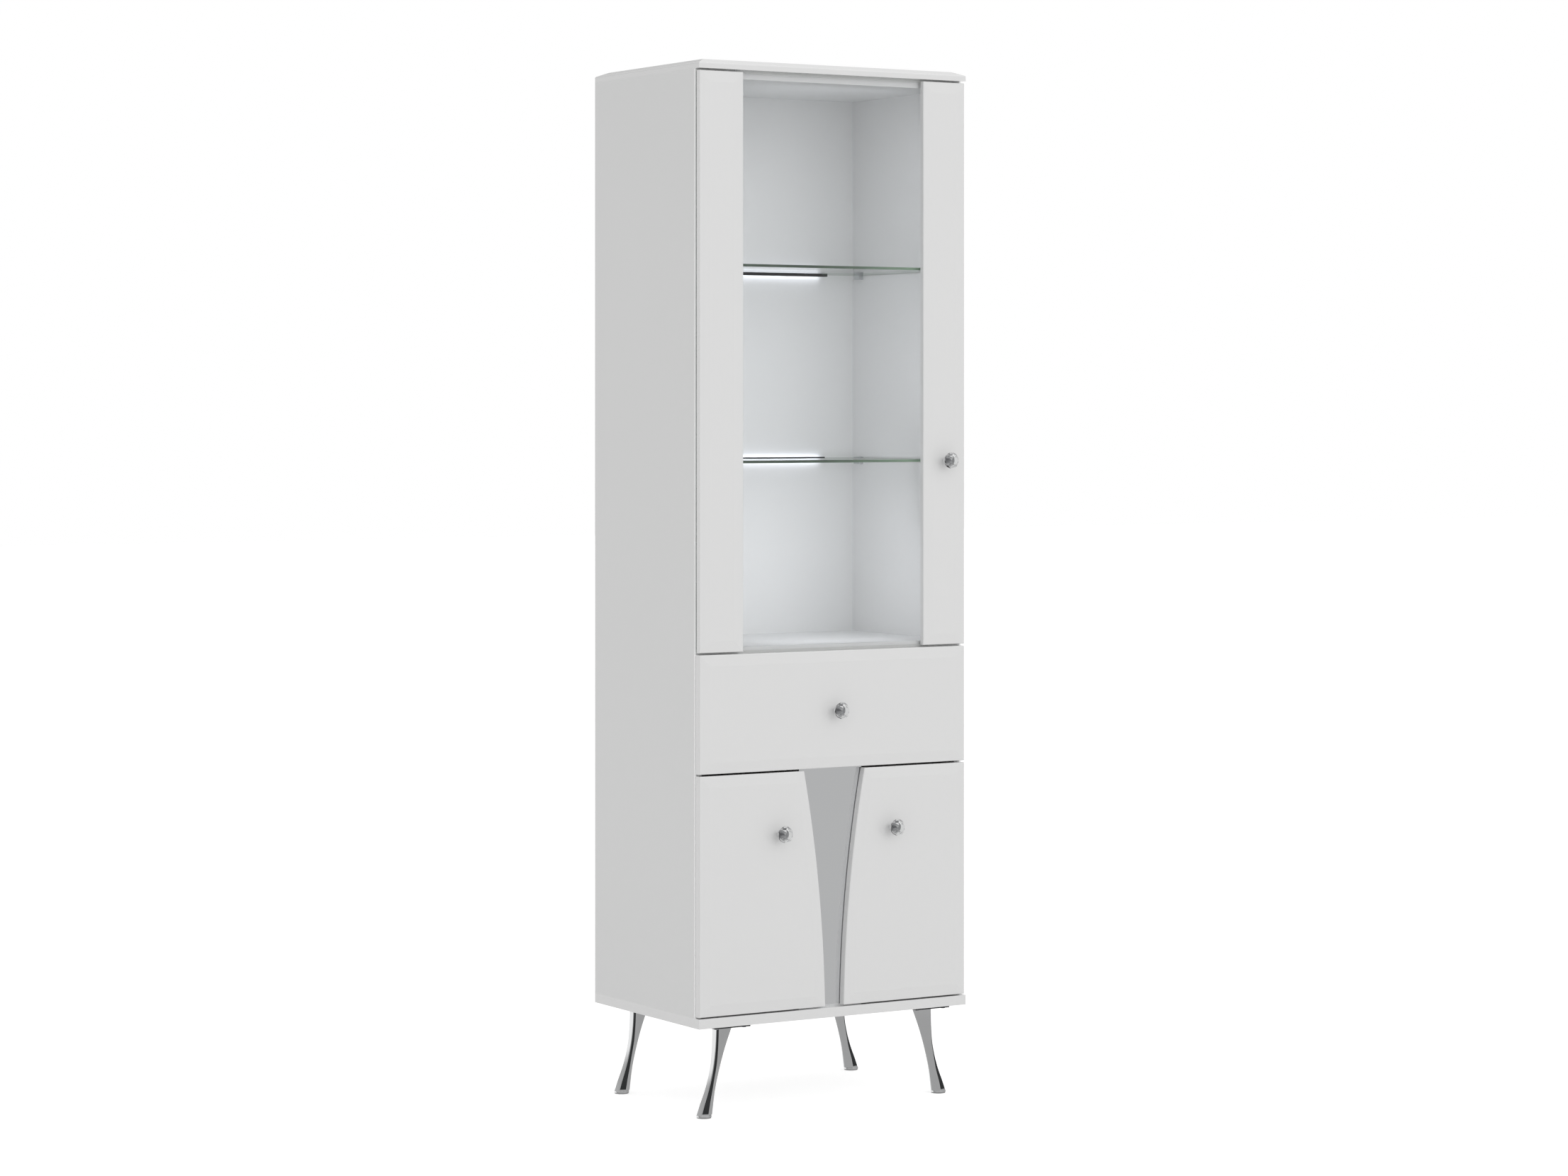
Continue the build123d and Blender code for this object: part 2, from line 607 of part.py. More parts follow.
def add_drawer(pieces):
    inside_x = BOX_X - BOX_WALL
    box_z = (BOX_BOTTOM, BOX_TOP)
    base_x = inside_x + GROOVE_DEPTH
    base_z = (BASE_BOTTOM, BASE_BOTTOM + BACK_THICKNESS)
    base = block((-base_x, base_x), (FRONT_THICKNESS - GROOVE_DEPTH, BOX_BACK), base_z)
    screws = drawer_screws()
    side = cut(block((inside_x, BOX_X), (FRONT_THICKNESS, BOX_BACK), box_z), [base] + screws)
    back = block((-inside_x, inside_x), (BOX_BACK - BOX_WALL, BOX_BACK), (base_z[1], BOX_TOP))
    front = bevelled_rectangle((-FRONT_X, FRONT_X), (DRAWER_BOTTOM, DRAWER_TOP), FRONT_THICKNESS)
    pieces["drawer_front"] = front - base
    pieces["drawer_side_right"] = side
    pieces["drawer_side_left"] = mirrored(side)
    pieces["drawer_back"] = cut(back, screws)
    pieces["drawer_base"] = base
    pieces["drawer_screws"] = group(screws)
    pieces["rails_fixed"] = group(left_and_right(rail(FIXED_RAIL)))
    pieces["rails_middle"] = group(left_and_right(rail(MIDDLE_RAIL)))
    pieces["rails_drawer"] = group(left_and_right(rail(BOX_RAIL)))
    add_knob(pieces, "drawer", "drawer_front")


def add_bumpers(pieces):
    """Soft buttons on the front of the carcass that the closed fronts rest near."""
    edge, post = CARCASS_MIDDLE_X, POST_HALF_WIDTH - 4
    places = [(edge, GLAZED_BOTTOM + 60), (edge, GLAZED_TOP - 60)]
    for height in (DRAWER_BOTTOM + 30, DRAWER_TOP - 30):
        places += [(edge, height), (-edge, height)]
    for height in (DOOR_BOTTOM + 60, DOOR_TOP - 40):
        places += [(post, height), (-post, height)]
    start = CARCASS_FRONT - BUMPER_HEIGHT
    pieces["door_bumpers"] = group(
        [rod((x, start, z), "Y", BUMPER_HEIGHT, BUMPER_RADIUS) for x, z in places]
    )


def place_and_write(pieces):
    """Moves every piece into the cabinet's frame and writes one file each."""
    os.makedirs("parts", exist_ok=True)
    for name, piece in pieces.items():
        export_step(Pos(0, ORIGIN_SHIFT, 0) * piece, f"parts/{name}.step")


def main():
    pieces = {}
    add_carcass(pieces)
    add_shelves(pieces)
    add_legs(pieces)
    add_hinges(pieces)
    add_lower_doors(pieces)
    add_display_door(pieces)
    add_drawer(pieces)
    add_bumpers(pieces)
    place_and_write(pieces)


main()
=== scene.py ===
import json
import math

import bmesh
import bpy
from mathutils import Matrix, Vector


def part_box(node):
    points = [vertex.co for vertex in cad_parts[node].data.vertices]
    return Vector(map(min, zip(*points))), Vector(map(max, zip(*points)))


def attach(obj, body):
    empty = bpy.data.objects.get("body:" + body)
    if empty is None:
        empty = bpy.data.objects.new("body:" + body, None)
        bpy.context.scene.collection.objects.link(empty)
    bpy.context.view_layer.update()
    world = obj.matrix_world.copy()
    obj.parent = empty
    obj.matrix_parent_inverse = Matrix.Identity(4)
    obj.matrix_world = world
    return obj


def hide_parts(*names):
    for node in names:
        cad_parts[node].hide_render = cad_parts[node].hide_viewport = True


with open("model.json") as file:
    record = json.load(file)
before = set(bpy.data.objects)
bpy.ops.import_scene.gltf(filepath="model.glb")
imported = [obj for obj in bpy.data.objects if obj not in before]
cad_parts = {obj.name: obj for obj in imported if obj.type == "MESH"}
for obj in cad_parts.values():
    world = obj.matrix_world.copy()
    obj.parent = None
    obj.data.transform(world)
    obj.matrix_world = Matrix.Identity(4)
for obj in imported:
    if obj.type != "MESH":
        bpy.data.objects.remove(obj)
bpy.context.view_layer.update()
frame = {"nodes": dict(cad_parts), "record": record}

MM = 0.001

# ---- camera: level, to the left of the front, with the lens shifted down -------------------
CAMERA_AZIMUTH = math.radians(-31.55)
CAMERA_PLACE = (-4.0266, -6.5542, 1.3309)
LENS_MM, SENSOR_MM = 90.9, 36.0
LENS_SHIFT = -0.1141
CAMERA_REACH = 200.0

# ---- colours (linear) ----------------------------------------------------------------------
WHITE = (1.0, 1.0, 1.0)
LACQUER = (0.80, 0.80, 0.798)
LAMINATE = (0.80, 0.803, 0.80)
HARDBOARD_FACE = (0.79, 0.795, 0.79)
HARDBOARD_BACK = (0.32, 0.20, 0.11)
PANE_TINT = (0.988, 0.989, 0.992)
PANE_EDGE = (0.42, 0.50, 0.46)
SHELF_TINT = (0.965, 0.975, 0.972)
# Green of the shelf edges: the dark end is painted shade, the other is their palest tone.
SHELF_EDGE_PAINTED_SHADE = (0.055, 0.085, 0.058)
SHELF_EDGE_LIGHT = (0.27, 0.40, 0.28)
MIRROR_SILVER = (0.965, 0.975, 0.985)
CHROME = (0.80, 0.805, 0.81)
# Dark colour of the legs' sunk facets: painted shade for the recess.
LEG_PAINTED_SHADE = (0.075, 0.078, 0.08)
NICKEL = (0.62, 0.61, 0.585)
ZINC = (0.58, 0.60, 0.63)
BLACK_PAINT = (0.012, 0.012, 0.013)
BLACK_PLASTIC = (0.010, 0.010, 0.011)
CLEAR_PLASTIC = (0.80, 0.82, 0.83)
CLEAR_PLASTIC_TINT = (0.93, 0.95, 0.95)
CLEAR_RUBBER = (0.62, 0.64, 0.64)
PAD_GREY = (0.30, 0.30, 0.30)
BEECH = (0.55, 0.36, 0.20)
CRYSTAL_CLEAR = (0.985, 0.99, 0.99)
# Tint of the crystal's dark facets: painted shade.
CRYSTAL_PAINTED_SHADE = (0.64, 0.64, 0.65)
CRYSTAL_SHADOW = (0.93, 0.935, 0.94)
LIGHT_WHITE = (0.86, 0.92, 1.0)
DIFFUSER_BODY = (0.9, 0.93, 0.96)
FLOOR = (0.86, 0.86, 0.86)


# ============================================================================================
# Node helpers
# ============================================================================================
def scaled(colour, factor):
    """The colour made darker or lighter, up to white."""
    return tuple(min(1.0, part * factor) for part in colour)


class Nodes:
    """A material's or world's node tree with short calls to add and join nodes."""

    def __init__(self, tree, output_kind="ShaderNodeOutputMaterial"):
        self.tree = tree
        self.output_kind = output_kind
        tree.nodes.clear()

    def add(self, kind, **settings):
        node = self.tree.nodes.new(kind)
        for name, value in settings.items():
            setattr(node, name, value)
        return node

    def feed(self, node, socket, value):
        """Joins value to an input, or sets the input when value is a number or colour."""
        target = node.inputs[socket]
        if isinstance(value, bpy.types.NodeSocket):
            self.tree.links.new(value, target)
        elif isinstance(value, tuple) and len(value) == 3 and target.type == "RGBA":
            target.default_value = (*value, 1.0)
        else:
            target.default_value = value

    def made(self, kind, **inputs):
        """Adds a node with these inputs and returns its first output."""
        node = self.add(kind)
        for name, value in inputs.items():
            self.feed(node, name.replace("_", " "), value)
        return node.outputs[0]

    def output(self, shader):
        self.feed(self.add(self.output_kind), "Surface", shader)

    # ---- numbers and colours ----
    def math(self, operation, a, b=0.0, clamp=False):
        node = self.add("ShaderNodeMath", operation=operation, use_clamp=clamp)
        self.feed(node, 0, a)
        self.feed(node, 1, b)
        return node.outputs[0]

    def smooth(self, value, low, high, to_low=0.0, to_high=1.0):
        """Smooth step of value from low to high."""
        node = self.add("ShaderNodeMapRange", interpolation_type="SMOOTHSTEP")
        self.feed(node, "Value", value)
        self.feed(node, "From Min", low)
        self.feed(node, "From Max", high)
        self.feed(node, "To Min", to_low)
        self.feed(node, "To Max", to_high)
        return node.outputs["Result"]

    def spread(self, noise, low, high):
        """Stretches the range that a noise mostly keeps to from low to high."""
        return self.smooth(noise, 0.3, 0.7, low, high)

    def mix_colour(self, share, a, b):
        node = self.add("ShaderNodeMix", data_type="RGBA")
        self.feed(node, 0, share)
        self.feed(node, 6, a)
        self.feed(node, 7, b)
        return node.outputs[2]

    # ---- places and directions ----
    def place(self):
        """Position in the cabinet's frame, in metres: every piece sits unmoved at its origin."""
        return self.add("ShaderNodeTexCoord").outputs["Object"]

    def split(self, vector):
        """The x, y and z of a vector."""
        node = self.add("ShaderNodeSeparateXYZ")
        self.feed(node, 0, vector)
        return node.outputs

    def facing(self):
        """Flat normal in the piece's own directions, so that it turns with the piece."""
        turn = self.add(
            "ShaderNodeVectorTransform",
            vector_type="NORMAL", convert_from="WORLD", convert_to="OBJECT",
        )
        self.feed(turn, 0, self.add("ShaderNodeNewGeometry").outputs["True Normal"])
        return turn.outputs[0]

    def axis_share(self, axis):
        """How squarely the surface faces along an axis, 0 to 1."""
        return self.math("ABSOLUTE", self.split(self.facing())[axis])

    def outside(self):
        """1 where a ray meets the surface from outside, 0 from inside."""
        inside = self.add("ShaderNodeNewGeometry").outputs["Backfacing"]
        return self.math("SUBTRACT", 1.0, inside)

    # ---- texture ----
    def noise(self, scale, detail=2.0, stretch=(1.0, 1.0, 1.0), distortion=0.0):
        """Noise of so many lumps a metre, denser along an axis the larger its stretch."""
        mapping = self.add("ShaderNodeMapping")
        self.feed(mapping, "Vector", self.place())
        self.feed(mapping, "Scale", stretch)
        node = self.add("ShaderNodeTexNoise")
        self.feed(node, "Vector", mapping.outputs["Vector"])
        self.feed(node, "Scale", scale)
        self.feed(node, "Detail", detail)
        self.feed(node, "Distortion", distortion)
        return node.outputs["Fac"]

    def bump(self, height, depth):
        """Bump whose height map spans depth metres."""
        return self.made("ShaderNodeBump", Height=height, Distance=depth, Strength=1.0)

    # ---- shaders ----
    def principled(self, **inputs):
        return self.made("ShaderNodeBsdfPrincipled", **inputs)

    def mix_shader(self, share, a, b):
        node = self.add("ShaderNodeMixShader")
        self.feed(node, 0, share)
        self.feed(node, 1, a)
        self.feed(node, 2, b)
        return node.outputs[0]

    def add_shader(self, a, b):
        node = self.add("ShaderNodeAddShader")
        self.feed(node, 0, a)
        self.feed(node, 1, b)
        return node.outputs[0]


def material(name):
    new = bpy.data.materials.new(name)
    new.use_nodes = True
    return new, Nodes(new.node_tree)


# ============================================================================================
# White boards
# ============================================================================================
def white_lacquer():
    """High-gloss sprayed lacquer with a faint orange peel and slow thickness changes."""
    lacquer, n = material("white_lacquer")
    cloud = n.noise(5.0, detail=3.0)
    peel = n.noise(220.0)
    n.output(n.principled(
        Base_Color=n.mix_colour(cloud, scaled(LACQUER, 0.985), LACQUER),
        Roughness=n.spread(n.noise(60.0, detail=4.0), 0.15, 0.21),
        Normal=n.bump(peel, 0.012 * MM),
        Coat_Weight=0.7, Coat_Roughness=0.03, Coat_IOR=1.5,
    ))
    return lacquer


# Painted light: the outermost rim of the side panels' front edges glows faintly though it is no
# lamp, which lightens the shade in the dark line of the gap behind the doors.
RIM_PAINTED_LIGHT = 0.22
RIM_WIDTH, RIM_FADE = 4 * MM, 1.2 * MM
RIM_FRONT, RIM_BACK = 0.2 * MM, 0.8 * MM       # behind the front edge: full painted light, none


def painted_rim_light(n):
    low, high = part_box("side_panel_right")
    x, y, _ = n.split(n.place())
    edge = n.smooth(y, low.y + RIM_FRONT, low.y + RIM_BACK, RIM_PAINTED_LIGHT, 0.0)
    rim_start = high.x - RIM_WIDTH
    rim = n.smooth(n.math("ABSOLUTE", x), rim_start, rim_start + RIM_FADE)
    return n.math("MULTIPLY", edge, rim)


def white_laminate():
    """Satin melamine foil with a very fine pressed texture, and painted light on the side panels'
    front rims.
    """
    laminate, n = material("white_laminate")
    cloud = n.noise(3.0, detail=3.0)
    pores = n.noise(1400.0, detail=3.0)
    n.output(n.principled(
        Base_Color=n.mix_colour(cloud, scaled(LAMINATE, 0.98), LAMINATE),
        Roughness=n.spread(n.noise(300.0, detail=3.0), 0.30, 0.40),
        Normal=n.bump(pores, 0.02 * MM),
        Coat_Weight=0.15,
        # Painted light: a faint glow on the side panels' front rims, lightening the shade of the
        # gap.
        Emission_Color=WHITE, Emission_Strength=painted_rim_light(n),
    ))
    return laminate


def white_hardboard():
    """Thin hardboard: painted white in front and on top, raw brown fibre behind and below."""
    hardboard, n = material("white_hardboard")
    _, backward, upward = n.split(n.facing())
    raw = n.smooth(n.math("SUBTRACT", backward, upward), 0.2, 0.6)
    fibres = n.noise(900.0, detail=5.0, stretch=(1.0, 1.0, 0.35), distortion=1.2)
    brown = n.mix_colour(fibres, scaled(HARDBOARD_BACK, 0.62), scaled(HARDBOARD_BACK, 1.35))
    n.output(n.principled(
        Base_Color=n.mix_colour(raw, HARDBOARD_FACE, brown),
        Roughness=n.smooth(raw, 0.0, 1.0, 0.35, 0.78),
        Normal=n.bump(fibres, 0.06 * MM),
    ))
    return hardboard


# ============================================================================================
# Glass
# ============================================================================================
GLASS_IOR = 1.5
X, Y, Z = range(3)


def sheet_glass(name, tint, edge_colour, face_axis):
    """Flat glass: clear with a thin reflection on its faces, body colour on its edges."""
    glass, n = material(name)
    # The face a ray enters by also carries the far face's reflection: 2 R / (1 + R) in all.
    once = n.made("ShaderNodeFresnel", IOR=GLASS_IOR)
    both = n.math("DIVIDE", n.math("MULTIPLY", once, 2.0), n.math("ADD", once, 1.0))
    smears = n.smooth(n.noise(9.0, detail=4.0), 0.45, 0.8, 0.9, 1.0)
    share = n.math("MULTIPLY", n.math("MULTIPLY", both, smears), n.outside())
    wave = n.bump(n.noise(14.0, detail=1.0), 0.04 * MM)
    clear = n.made("ShaderNodeBsdfTransparent", Color=tint)
    shine = n.made("ShaderNodeBsdfGlossy", Roughness=0.0, Normal=wave)
    face = n.mix_shader(share, clear, shine)
    grinding = n.noise(500.0, detail=3.0, stretch=(0.1, 1.0, 1.0))
    edge = n.principled(
        Base_Color=edge_colour(n), Roughness=0.16, Specular_IOR_Level=0.8,
        Normal=n.bump(grinding, 0.02 * MM),
    )
    n.output(n.mix_shader(n.smooth(n.axis_share(face_axis), 0.5, 0.9), edge, face))
    return glass


def shelf_edge(n):
    """Green of a polished shelf edge, with painted shade towards the side where it looks into its
    length.
    """
    low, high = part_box("glass_shelf_upper")
    along = n.smooth(n.split(n.place())[X], low.x * 0.2, high.x)
    streak = n.math("SUBTRACT", n.noise(30.0, detail=3.0, stretch=(1.0, 1.0, 8.0)), 0.5)
    share = n.math("ADD", along, n.math("MULTIPLY", streak, 0.5), clamp=True)
    return n.mix_colour(share, SHELF_EDGE_PAINTED_SHADE, SHELF_EDGE_LIGHT)


def pane_edge(n):
    return n.mix_colour(n.noise(40.0), scaled(PANE_EDGE, 0.7), PANE_EDGE)


def silver_mirror():
    """Silvered glass with the very slow waviness of float glass."""
    mirror, n = material("silver_mirror")
    wave = n.noise(6.0, detail=1.0)
    n.output(n.principled(
        Base_Color=n.mix_colour(n.noise(4.0), scaled(MIRROR_SILVER, 0.97), MIRROR_SILVER),
        Metallic=1.0, Roughness=0.03, Normal=n.bump(wave, 0.12 * MM),
    ))
    return mirror


# Each flat facet of a crystal draws a chance number from its direction: the lowest ones are tinted
# dark as painted shade, the highest ones get extra reflection as a painted sparkle.
FACET_STEP = (0.08, 0.08, 0.08)                # directions closer than this count as one
PAINTED_SHADE_FACETS = (0.22, 0.34)
PAINTED_SPARKLE_FACETS = (0.66, 0.74)
PAINTED_SPARKLE_SHARE = 0.4
CRYSTAL_BENDING = 1.13                         # less than real crystal, so it stays readable


def facet_chance(n):
    direction = n.add("ShaderNodeVectorMath", operation="SNAP")
    n.feed(direction, 0, n.facing())
    n.feed(direction, 1, FACET_STEP)
    chance = n.add("ShaderNodeTexWhiteNoise", noise_dimensions="3D")
    n.feed(chance, "Vector", direction.outputs[0])
    return chance.outputs["Value"]


def cut_crystal():
    """Clear cut crystal: facets bend the view slightly, shine, and let light through; some are
    tinted dark as painted shade, some get a painted sparkle.
    """
    cut, n = material("cut_crystal")
    chance = facet_chance(n)
    body = n.made(
        "ShaderNodeBsdfRefraction", Roughness=0.0, IOR=CRYSTAL_BENDING,
        Color=n.mix_colour(n.smooth(chance, *PAINTED_SHADE_FACETS), CRYSTAL_PAINTED_SHADE, CRYSTAL_CLEAR),
        Normal=n.bump(n.noise(300.0, detail=1.0), 0.004 * MM),
    )
    shine = n.made("ShaderNodeBsdfGlossy", Roughness=0.02, Color=WHITE)
    fresnel = n.made("ShaderNodeFresnel", IOR=n.spread(n.noise(120.0), 1.50, 1.58))
    painted_sparkle = n.smooth(chance, *PAINTED_SPARKLE_FACETS, 0.0, PAINTED_SPARKLE_SHARE)
    sparkle = n.math("ADD", fresnel, painted_sparkle, clamp=True)
    solid = n.mix_shader(n.math("MULTIPLY", sparkle, n.outside()), body, shine)
    shadow = n.made("ShaderNodeBsdfTransparent", Color=CRYSTAL_SHADOW)
    path = n.add("ShaderNodeLightPath")
    n.output(n.mix_shader(path.outputs["Is Shadow Ray"], solid, shadow))
    return cut


# ============================================================================================
# Metal, paint, plastic, light strip and wood
# ============================================================================================
def metal(name, colour, roughness, brushing=(1.0, 1.0, 1.0), depth=0.006 * MM, variation=0.12):
    """Plated metal: fine directional polish marks, slightly uneven tone and roughness."""
    plated, n = material(name)
    marks = n.noise(900.0, detail=4.0, stretch=brushing)
    cloud = n.noise(35.0, detail=3.0)
    n.output(n.principled(
        Base_Color=n.mix_colour(cloud, scaled(colour, 1.0 - variation), colour),
        Metallic=1.0,
        Roughness=n.spread(marks, roughness * 0.7, roughness * 1.3),
        Normal=n.bump(marks, depth),
    ))
    return plated


def painted(name, colour, roughness, grain=700.0, depth=0.04 * MM):
    """Paint, moulded plastic or rubber with a fine grain."""
    coated, n = material(name)
    speck = n.noise(grain, detail=3.0)
    cloud = n.noise(25.0, detail=3.0)
    n.output(n.principled(
        Base_Color=n.mix_colour(cloud, scaled(colour, 0.85), scaled(colour, 1.1)),
        Roughness=n.spread(speck, roughness * 0.85, min(1.0, roughness * 1.15)),
        Normal=n.bump(speck, depth),
    ))
    return coated


def clear_plastic():
    """Translucent moulded plastic."""
    plastic, n = material("clear_plastic")
    flow = n.noise(160.0, detail=3.0)
    body = n.principled(
        Base_Color=n.mix_colour(flow, scaled(CLEAR_PLASTIC, 0.9), CLEAR_PLASTIC),
        Roughness=0.22, Normal=n.bump(flow, 0.03 * MM), Specular_IOR_Level=0.6,
    )
    clear = n.made("ShaderNodeBsdfTransparent", Color=CLEAR_PLASTIC_TINT)
    n.output(n.mix_shader(0.55, clear, body))
    return plastic


LIGHT_STRENGTH = 5.0
DIODE_SPACING = 16 * MM


def light_diffuser():
    """Milky strip that glows, a little brighter at each diode behind it."""
    diffuser, n = material("light_diffuser")
    turns = n.math("MULTIPLY", n.split(n.place())[X], 2 * math.pi / DIODE_SPACING)
    diode = n.math("SINE", turns)
    strength = n.smooth(diode, -1.0, 1.0, LIGHT_STRENGTH * 0.8, LIGHT_STRENGTH * 1.2)
    glow = n.made("ShaderNodeEmission", Color=LIGHT_WHITE, Strength=strength)
    body = n.principled(
        Base_Color=DIFFUSER_BODY, Roughness=0.3, Normal=n.bump(n.noise(400.0), 0.02 * MM),
    )
    n.output(n.add_shader(glow, body))
    return diffuser


def beech():
    """Beech with grain along the dowels."""
    wood, n = material("beech")
    grain = n.noise(500.0, detail=4.0, stretch=(0.08, 1.0, 1.0))
    n.output(n.principled(
        Base_Color=n.mix_colour(grain, scaled(BEECH, 0.8), scaled(BEECH, 1.15)),
        Roughness=0.6, Normal=n.bump(grain, 0.05 * MM),
    ))
    return wood


MATERIALS = {
    "white_lacquer": white_lacquer(),
    "white_laminate": white_laminate(),
    "white_hardboard": white_hardboard(),
    "silver_mirror": silver_mirror(),
    "green_edge_glass": sheet_glass("green_edge_glass", SHELF_TINT, shelf_edge, face_axis=Z),
    "clear_glass": sheet_glass("clear_glass", PANE_TINT, pane_edge, face_axis=Y),
    "cut_crystal": cut_crystal(),
    "polished_chrome": metal("polished_chrome", CHROME, 0.06, variation=0.06),
    # Dark metal on the legs' sunk facets: painted shade for the recess.
    "leg_painted_shade": metal("leg_painted_shade", LEG_PAINTED_SHADE, 0.28, (1.0, 1.0, 0.1), variation=0.2),
    "nickel_steel": metal("nickel_steel", NICKEL, 0.22),
    "zinc_steel": metal("zinc_steel", ZINC, 0.30, (1.0, 0.05, 1.0), depth=0.01 * MM),
    "black_steel": painted("black_steel", BLACK_PAINT, 0.45, grain=900.0),
    "black_plastic": painted("black_plastic", BLACK_PLASTIC, 0.5),
    "black_cable": painted("black_cable", BLACK_PLASTIC, 0.6),
    "clear_plastic": clear_plastic(),
    "clear_rubber": painted("clear_rubber", CLEAR_RUBBER, 0.4),
    "light_diffuser": light_diffuser(),
    "grey_pad": painted("grey_pad", PAD_GREY, 0.9, grain=500.0, depth=0.2 * MM),
    "beech": beech(),
}

# ============================================================================================
# Pieces kept from the CAD: materials, softened edges and even shading
# ============================================================================================
EDGE_SOFTENING = {
    "white_laminate": 0.5 * MM,
    "white_hardboard": 0.2 * MM,
    "green_edge_glass": 0.6 * MM,
    "clear_glass": 0.6 * MM,
    "silver_mirror": 0.8 * MM,
    "nickel_steel": 0.35 * MM,
    "zinc_steel": 0.25 * MM,
    "black_steel": 0.5 * MM,
    "black_plastic": 0.6 * MM,
    "clear_plastic": 0.7 * MM,
}
OWN_SOFTENING = {"bottom_board": 1.0 * MM}     # a piece softened more than its material
SOFTENED_ANGLE = math.radians(40)
SOFTENING_STEPS = 3


def soften(obj, width):
    """Small rounding on sharp edges, as a modifier, and smooth shading across it."""
    modifier = obj.modifiers.new("soft_edges", "BEVEL")
    modifier.width = width
    modifier.segments = SOFTENING_STEPS
    modifier.limit_method = "ANGLE"
    modifier.angle_limit = SOFTENED_ANGLE
    modifier.harden_normals = True
    modifier.use_clamp_overlap = True


def dress_cad_nodes():
    slots = {part["node"]: part["material_slot"] for part in frame["record"]["subparts"]}
    for name, obj in frame["nodes"].items():
        slot = slots[name]
        obj.data.materials.clear()
        obj.data.materials.append(MATERIALS[slot])
        width = OWN_SOFTENING.get(name, EDGE_SOFTENING.get(slot))
        if width:
            soften(obj, width)


# ============================================================================================
# Mesh helpers
# ============================================================================================
def new_object(name, mesh_data, slots, body, smooth_angle):
    """Puts a mesh in the scene on a body; its faces use the slots' materials by index."""
    obj = bpy.data.objects.new(name, mesh_data)
    bpy.context.scene.collection.objects.link(obj)
    for slot in slots:
        mesh_data.materials.append(MATERIALS[slot])
    smooth = smooth_angle > 0.0
    mesh_data.polygons.foreach_set("use_smooth", [smooth] * len(mesh_data.polygons))
    mesh_data.set_sharp_from_angle(angle=smooth_angle)
    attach(obj, body)
    return obj


def mesh_from(bm, name):
    bmesh.ops.recalc_face_normals(bm, faces=bm.faces)
    data = bpy.data.meshes.new(name)
    bm.to_mesh(data)
    bm.free()
    return data


def skin(bm, rings, strip_material=None):
    """Joins closed rings of points in order and closes both ends."""
    count = len(rings[0])
    for row, (ring, above) in enumerate(zip(rings, rings[1:])):
        for i in range(count):
            j = (i + 1) % count
            face = bm.faces.new((ring[i], ring[j], above[j], above[i]))
            if strip_material:
                face.material_index = strip_material(row, i)
    bm.faces.new(rings[0])
    bm.faces.new(list(reversed(rings[-1])))


def circle(segments):
    """Cosine and sine of each point round a circle."""
    turns = [2 * math.pi * i / segments for i in range(segments)]
    return [(math.cos(turn), math.sin(turn)) for turn in turns]


def lathe(bm, centre, profile, segments):
    """Surface turned about the Y axis through centre, from (depth, radius) points."""
    rings = [
        [bm.verts.new((centre.x + radius * c, depth, centre.z + radius * s))
         for c, s in circle(segments)]
        for depth, radius in profile
    ]
    skin(bm, rings)


# ============================================================================================
# Knobs
# ============================================================================================
KNOB_FRONTS = {
    "display": ("display_door", "door_stile_right"),
    "drawer": ("drawer", "drawer_front"),
    "left": ("left_door", "door_left"),
    "right": ("right_door", "door_right"),
}
# Rings of the cut crystal: share of its depth from the back, share of its radius, points, turn.
CRYSTAL_CUT = (
    (0.0, 0.60, 8, 0.5),
    (0.13, 0.86, 8, 0.0),
    (0.27, 0.985, 16, 0.25),
    (0.42, 0.985, 16, 0.25),
    (0.62, 0.86, 8, 0.0),
    (0.83, 0.66, 8, 0.5),
    (1.0, 0.46, 8, 0.0),
)
CRYSTAL_SIDES = 8
CRYSTAL_GAP = 0.15 * MM                        # between the collar and the crystal
FLAT_FACET_ANGLE = math.radians(0.5)           # faces closer than this merge into one facet
# Foot of the knob, from the door out: share of its visible depth, share of its radius.
KNOB_FOOT = (
    (0.0, 0.45), (0.02, 0.46), (0.05, 0.445), (0.30, 0.44), (0.40, 0.52), (0.455, 0.72),
    (0.49, 0.90), (0.53, 0.975), (0.58, 1.0), (0.70, 0.985), (0.84, 0.985), (0.94, 1.0),
    (0.985, 0.985), (1.0, 0.93),
)
KNOB_SEGMENTS = 64
# Head of the screw behind the door: share of its height from the back, share of its radius.
SCREW_HEAD = ((1.0, 1.0), (0.5, 1.0), (0.15, 0.88), (0.0, 0.55))
SCREW_HEAD_RADIUS, SCREW_HEAD_HEIGHT = 4.0 * MM, 2.0 * MM
SCREW_SEGMENTS = 32
KNOB_SMOOTH_ANGLE = math.radians(40)


def crystal(name, body):
    node = f"knob_crystal_{name}"
    low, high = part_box(node)
    centre = (low + high) / 2
    reach = (high.z - low.z) / 2 / math.cos(math.pi / CRYSTAL_SIDES)
    back = high.y - CRYSTAL_GAP
    bm = bmesh.new()
    for share, radius, count, turn in CRYSTAL_CUT:
        depth = back + (low.y - back) * share
        for i in range(count):
            a = 2 * math.pi * (i + turn) / count
            x = centre.x + reach * radius * math.cos(a)
            z = centre.z + reach * radius * math.sin(a)
            bm.verts.new((x, depth, z))
    bmesh.ops.convex_hull(bm, input=list(bm.verts))
    bmesh.ops.dissolve_limit(bm, angle_limit=FLAT_FACET_ANGLE, verts=bm.verts, edges=bm.edges)
    obj = new_object(f"crystal_{name}", mesh_from(bm, node), ("cut_crystal",), body, 0.0)
    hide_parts(node)


